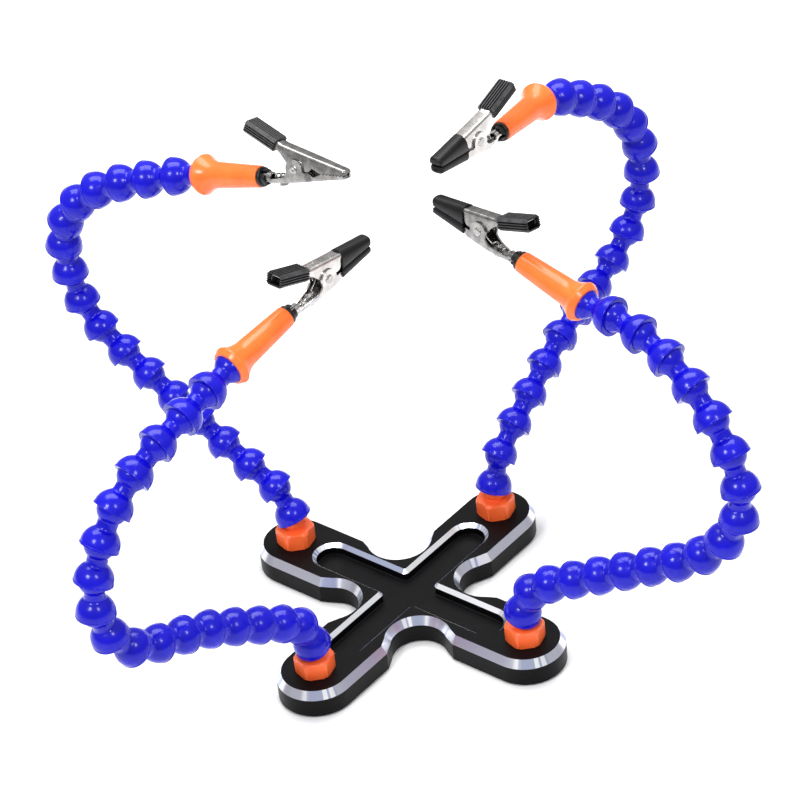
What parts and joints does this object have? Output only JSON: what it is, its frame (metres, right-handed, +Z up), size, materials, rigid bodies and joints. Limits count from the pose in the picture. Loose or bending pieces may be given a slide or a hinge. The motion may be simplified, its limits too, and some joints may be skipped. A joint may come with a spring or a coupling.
{
  "type": "helping hands clamp",
  "caption": "Helping hands: X-shaped base plate holding up flexible ball-and-socket hoses, each with a nozzle and a sprung crocodile clip.",
  "frame": {"origin": "on the bench surface, under the middle of the base plate", "axes": "+Z up; +X to the right and +Y to the back, each passing through a notch between two arms of the X"},
  "size_m": [0.2643, 0.2531, 0.2296],
  "materials": {
    "black_anodised": "black anodised satin with bright cut bevels",
    "pad_rubber": "matt black",
    "connector_orange": "glossy moulded acetal",
    "link_blue": "glossy moulded acetal",
    "nozzle_orange": "semi-gloss moulded acetal",
    "bush_rubber": "matt black",
    "clip_nickel": "bright nickel plate",
    "rivet_steel": "bright nickel plate",
    "spring_steel": "bright drawn wire",
    "sleeve_pvc": "satin black soft PVC",
    "cover_rubber": "satin black"
  },
  "bodies": {
    "base": {"base_plate": "black_anodised", "base_pad": "pad_rubber", "hose_connectors": "connector_orange"},
    "hose_a_1": {"links_a_1": "link_blue"},
    "hose_a_2": {"links_a_2": "link_blue"},
    "hose_a_3": {"links_a_3": "link_blue"},
    "hose_a_4": {"links_a_4": "link_blue"},
    "nozzle_a_body": {"nozzle_a": "nozzle_orange", "bush_a": "bush_rubber"},
    "clip_a": {"lower_jaw_a": "clip_nickel", "jaw_rivet_a": "rivet_steel", "jaw_spring_a": "spring_steel", "wire_screw_a": "rivet_steel"},
    "jaw_a": {"upper_jaw_a": "clip_nickel", "handle_sleeve_a": "sleeve_pvc"},
    "hose_b_1": {"links_b_1": "link_blue"},
    "hose_b_2": {"links_b_2": "link_blue"},
    "hose_b_3": {"links_b_3": "link_blue"},
    "hose_b_4": {"links_b_4": "link_blue"},
    "nozzle_b_body": {"nozzle_b": "nozzle_orange", "bush_b": "bush_rubber"},
    "clip_b": {"lower_jaw_b": "clip_nickel", "jaw_rivet_b": "rivet_steel", "jaw_spring_b": "spring_steel", "wire_screw_b": "rivet_steel", "lower_cover_b": "cover_rubber"},
    "jaw_b": {"upper_jaw_b": "clip_nickel", "handle_sleeve_b": "sleeve_pvc", "upper_cover_b": "cover_rubber"},
    "hose_c_1": {"links_c_1": "link_blue"},
    "hose_c_2": {"links_c_2": "link_blue"},
    "hose_c_3": {"links_c_3": "link_blue"},
    "hose_c_4": {"links_c_4": "link_blue"},
    "nozzle_c_body": {"nozzle_c": "nozzle_orange", "bush_c": "bush_rubber"},
    "clip_c": {"lower_jaw_c": "clip_nickel", "jaw_rivet_c": "rivet_steel", "jaw_spring_c": "spring_steel", "wire_screw_c": "rivet_steel", "lower_cover_c": "cover_rubber"},
    "jaw_c": {"upper_jaw_c": "clip_nickel", "handle_sleeve_c": "sleeve_pvc", "upper_cover_c": "cover_rubber"},
    "hose_d_1": {"links_d_1": "link_blue"},
    "hose_d_2": {"links_d_2": "link_blue"},
    "hose_d_3": {"links_d_3": "link_blue"},
    "hose_d_4": {"links_d_4": "link_blue"},
    "nozzle_d_body": {"nozzle_d": "nozzle_orange", "bush_d": "bush_rubber"},
    "clip_d": {"lower_jaw_d": "clip_nickel", "jaw_rivet_d": "rivet_steel", "jaw_spring_d": "spring_steel", "wire_screw_d": "rivet_steel", "lower_cover_d": "cover_rubber"},
    "jaw_d": {"upper_jaw_d": "clip_nickel", "handle_sleeve_d": "sleeve_pvc", "upper_cover_d": "cover_rubber"}
  },
  "joints": [
    {"name": "hose_a_swivel", "type": "hinge", "parent": "base", "child": "hose_a_1", "pos_m": [-0.0435, 0.0435, 0.026], "axis": [0, 0, 1], "range_deg": [-20, 20]},
    {"name": "hose_a_rise", "type": "hinge", "parent": "hose_a_1", "child": "hose_a_2", "pos_m": [-0.07657, 0.06373, 0.06749], "axis": [0.5179, 0.8554, 0], "range_deg": [-12, 12]},
    {"name": "hose_a_swing", "type": "hinge", "parent": "hose_a_2", "child": "hose_a_3", "pos_m": [-0.11216, 0.08798, 0.10569], "axis": [-0.5734, 0.5101, -0.641], "range_deg": [-12, 12]},
    {"name": "hose_a_curl", "type": "hinge", "parent": "hose_a_3", "child": "hose_a_4", "pos_m": [-0.11286, 0.08361, 0.17139], "axis": [0.5336, 0.8379, 0.1149], "range_deg": [-15, 10]},
    {"name": "nozzle_a_tilt", "type": "hinge", "parent": "hose_a_4", "child": "nozzle_a_body", "pos_m": [-0.05931, 0.04584, 0.19918], "axis": [-0.6691, -0.7431, 0], "range_deg": [-12, 12]},
    {"name": "clip_a_turn", "type": "hinge", "parent": "nozzle_a_body", "child": "clip_a", "pos_m": [-0.0366, 0.02539, 0.2068], "axis": [0.7433, -0.6237, 0.2419], "continuous": true},
    {"name": "jaw_a_open", "type": "hinge", "parent": "clip_a", "child": "jaw_a", "pos_m": [-0.02178, 0.01431, 0.21539], "axis": [-0.6688, -0.6997, 0.2511], "range_deg": [0, 18], "stiffness_Nm_per_rad": 0.12, "springref_deg": -57.3, "deforming": ["jaw_spring_a"]},
    {"name": "hose_b_swivel", "type": "hinge", "parent": "base", "child": "hose_b_1", "pos_m": [-0.0435, -0.0435, 0.026], "axis": [0, 0, -1], "range_deg": [-20, 20]},
    {"name": "hose_b_rise", "type": "hinge", "parent": "hose_b_1", "child": "hose_b_2", "pos_m": [-0.07284, -0.07238, 0.06364], "axis": [0.6511, -0.759, 0], "range_deg": [-12, 12]},
    {"name": "hose_b_swing", "type": "hinge", "parent": "hose_b_2", "child": "hose_b_3", "pos_m": [-0.11102, -0.10716, 0.08893], "axis": [0.3434, 0.5578, 0.7556], "range_deg": [-12, 12]},
    {"name": "hose_b_curl", "type": "hinge", "parent": "hose_b_3", "child": "hose_b_4", "pos_m": [-0.10929, -0.10474, 0.15334], "axis": [0.5695, -0.822, 0.004], "range_deg": [-10, 15]},
    {"name": "nozzle_b_tilt", "type": "hinge", "parent": "hose_b_4", "child": "nozzle_b_body", "pos_m": [-0.05895, -0.06271, 0.17996], "axis": [-0.6561, 0.7547, 0], "range_deg": [-12, 12]},
    {"name": "clip_b_turn", "type": "hinge", "parent": "nozzle_b_body", "child": "clip_b", "pos_m": [-0.03554, -0.04236, 0.18543], "axis": [0.7391, 0.6655, 0.1045], "continuous": true},
    {"name": "jaw_b_open", "type": "hinge", "parent": "clip_b", "child": "jaw_b", "pos_m": [-0.01959, -0.028, 0.1917], "axis": [0.6691, -0.7431, 0], "range_deg": [0, 12], "stiffness_Nm_per_rad": 0.12, "springref_deg": -57.3, "deforming": ["jaw_spring_b"]},
    {"name": "hose_c_swivel", "type": "hinge", "parent": "base", "child": "hose_c_1", "pos_m": [0.0435, 0.0435, 0.026], "axis": [0, 0, -1], "range_deg": [-20, 20]},
    {"name": "hose_c_rise", "type": "hinge", "parent": "hose_c_1", "child": "hose_c_2", "pos_m": [0.07213, 0.0701, 0.06568], "axis": [-0.7087, 0.7055, 0], "range_deg": [-12, 12]},
    {"name": "hose_c_swing", "type": "hinge", "parent": "hose_c_2", "child": "hose_c_3", "pos_m": [0.10911, 0.10719, 0.08924], "axis": [-0.2186, -0.5277, 0.8208], "range_deg": [-12, 12]},
    {"name": "hose_c_curl", "type": "hinge", "parent": "hose_c_3", "child": "hose_c_4", "pos_m": [0.12219, 0.11394, 0.15277], "axis": [-0.6398, 0.7667, 0.0528], "range_deg": [-10, 15]},
    {"name": "nozzle_c_tilt", "type": "hinge", "parent": "hose_c_4", "child": "nozzle_c_body", "pos_m": [0.08031, 0.07436, 0.19386], "axis": [0.788, -0.6157, 0], "range_deg": [-12, 12]},
    {"name": "clip_c_turn", "type": "hinge", "parent": "nozzle_c_body", "child": "clip_c", "pos_m": [0.06102, 0.04967, 0.19716], "axis": [-0.6769, -0.7259, 0.1219], "continuous": true},
    {"name": "jaw_c_open", "type": "hinge", "parent": "clip_c", "child": "jaw_c", "pos_m": [0.04849, 0.03623, 0.20344], "axis": [-0.7314, 0.682, 0], "range_deg": [0, 12], "stiffness_Nm_per_rad": 0.12, "springref_deg": -57.3, "deforming": ["jaw_spring_c"]},
    {"name": "hose_d_swivel", "type": "hinge", "parent": "base", "child": "hose_d_1", "pos_m": [0.0435, -0.0435, 0.026], "axis": [0, 0, 1], "range_deg": [-20, 20]},
    {"name": "hose_d_rise", "type": "hinge", "parent": "hose_d_1", "child": "hose_d_2", "pos_m": [0.07248, -0.07339, 0.06296], "axis": [-0.6774, -0.7357, 0], "range_deg": [-12, 12]},
    {"name": "hose_d_swing", "type": "hinge", "parent": "hose_d_2", "child": "hose_d_3", "pos_m": [0.10876, -0.10688, 0.09256], "axis": [0.4301, -0.4841, -0.7621], "range_deg": [-12, 12]},
    {"name": "hose_d_curl", "type": "hinge", "parent": "hose_d_3", "child": "hose_d_4", "pos_m": [0.11543, -0.10697, 0.15531], "axis": [-0.809, -0.5866, 0.0378], "range_deg": [-15, 10]},
    {"name": "nozzle_d_tilt", "type": "hinge", "parent": "hose_d_4", "child": "nozzle_d_body", "pos_m": [0.07652, -0.05512, 0.18054], "axis": [0.7771, 0.6293, 0], "range_deg": [-12, 12]},
    {"name": "clip_d_turn", "type": "hinge", "parent": "nozzle_d_body", "child": "clip_d", "pos_m": [0.05713, -0.03118, 0.18709], "axis": [-0.6097, 0.7803, 0.1392], "continuous": true},
    {"name": "jaw_d_open", "type": "hinge", "parent": "clip_d", "child": "jaw_d", "pos_m": [0.04511, -0.01488, 0.19393], "axis": [0.7684, 0.6249, -0.1378], "range_deg": [0, 12], "stiffness_Nm_per_rad": 0.12, "springref_deg": -57.3, "deforming": ["jaw_spring_d"]}
  ]
}
